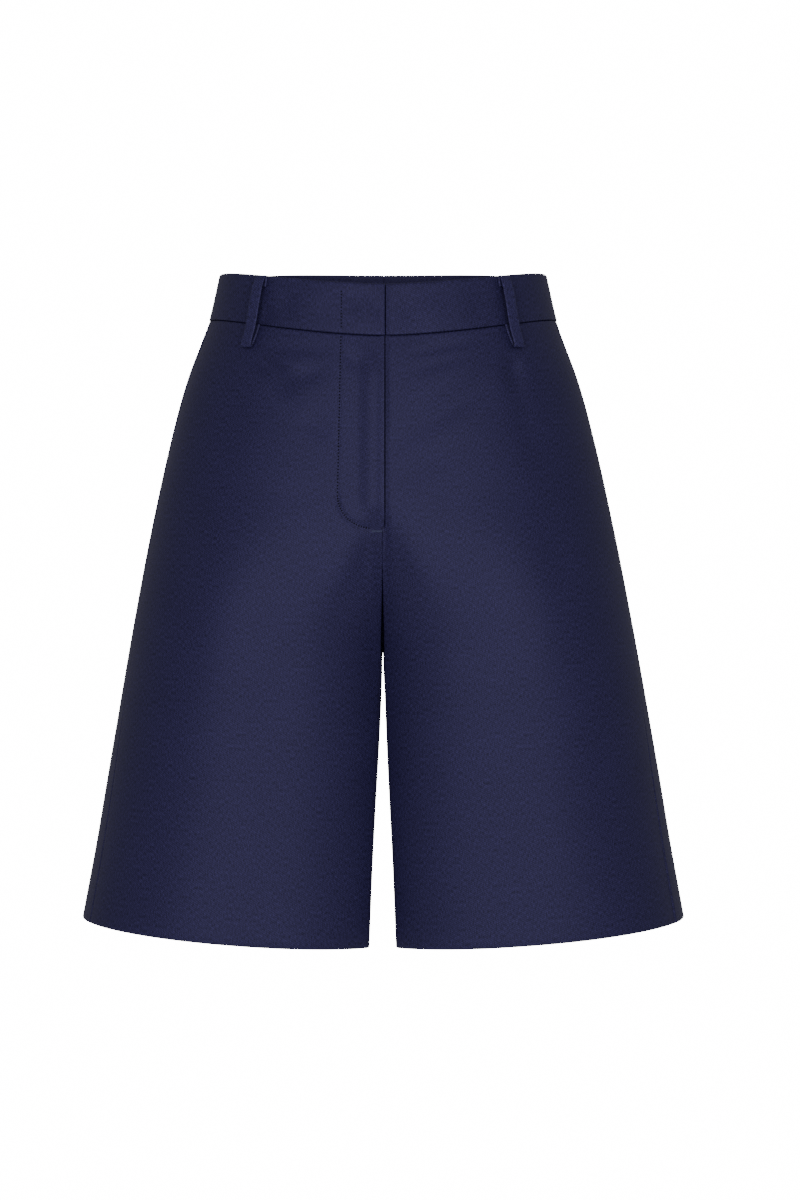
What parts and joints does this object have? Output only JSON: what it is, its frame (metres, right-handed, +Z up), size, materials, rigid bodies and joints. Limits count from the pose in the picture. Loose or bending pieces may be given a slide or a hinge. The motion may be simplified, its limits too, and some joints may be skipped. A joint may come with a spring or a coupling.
{
  "type": "bermuda_shorts",
  "caption": "Wide-leg tailored bermuda shorts in firm navy twill, filled out as worn, with a shaped waistband, belt loops, a fly lap, in-seam pockets and plain turned-up hems.",
  "frame": {"origin": "the middle of the waist hollow, half way up the waistband at the side of the body", "axes": "+Z up, +X to the wearer's left, +Y to the wearer's back; the front faces -Y"},
  "size_m": [0.4618, 0.2434, 0.5208],
  "materials": {
    "twill": "fine diagonal twill, piece-dyed navy, with a faint sheen",
    "pocketing": "plain-woven dark navy pocket lining"
  },
  "bodies": {
    "root": {"front_left": "twill", "front_right": "twill", "back_left": "twill", "back_right": "twill", "waistband_left": "twill", "waistband_right": "twill", "pocket_bag_left": "pocketing", "pocket_bag_right": "pocketing", "belt_loop_front_left": "twill", "belt_loop_front_right": "twill", "belt_loop_back_left": "twill", "belt_loop_back_right": "twill", "belt_loop_centre_back": "twill"}
  },
  "joints": []
}
